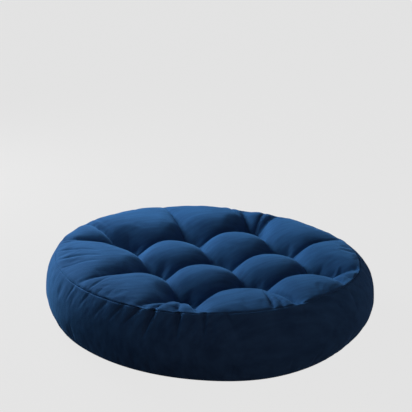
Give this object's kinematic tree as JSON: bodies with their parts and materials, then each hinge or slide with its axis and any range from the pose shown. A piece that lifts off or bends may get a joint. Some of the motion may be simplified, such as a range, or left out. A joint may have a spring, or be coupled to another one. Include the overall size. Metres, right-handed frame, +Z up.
{
  "type": "floor cushion",
  "caption": "Round tufted floor cushion: a stuffed navy velvet cover of two discs and a side band, drawn in by ties on a square grid.",
  "frame": {"origin": "middle of the cushion's outline, on the plane that it rests on", "axes": "+Z up out of the tufted seat face; +X and +Y along the rows and columns of the tufting grid"},
  "size_m": [0.55, 0.55, 0.13],
  "materials": {
    "navy_velvet": "short-pile velvet with a soft sheen",
    "polyester_fibre": "loose white hollow fibre",
    "navy_thread": "matt spun thread",
    "navy_twine": "waxed twine"
  },
  "bodies": {
    "root": {"top_panel": "navy_velvet", "side_band": "navy_velvet", "bottom_panel": "navy_velvet", "fibre_filling": "polyester_fibre", "top_seam_stitching": "navy_thread", "bottom_seam_stitching": "navy_thread", "tuft_tie_1": "navy_twine", "tuft_tie_2": "navy_twine", "tuft_tie_3": "navy_twine", "tuft_tie_4": "navy_twine", "tuft_tie_5": "navy_twine", "tuft_tie_6": "navy_twine", "tuft_tie_7": "navy_twine", "tuft_tie_8": "navy_twine", "tuft_tie_9": "navy_twine"}
  },
  "joints": []
}
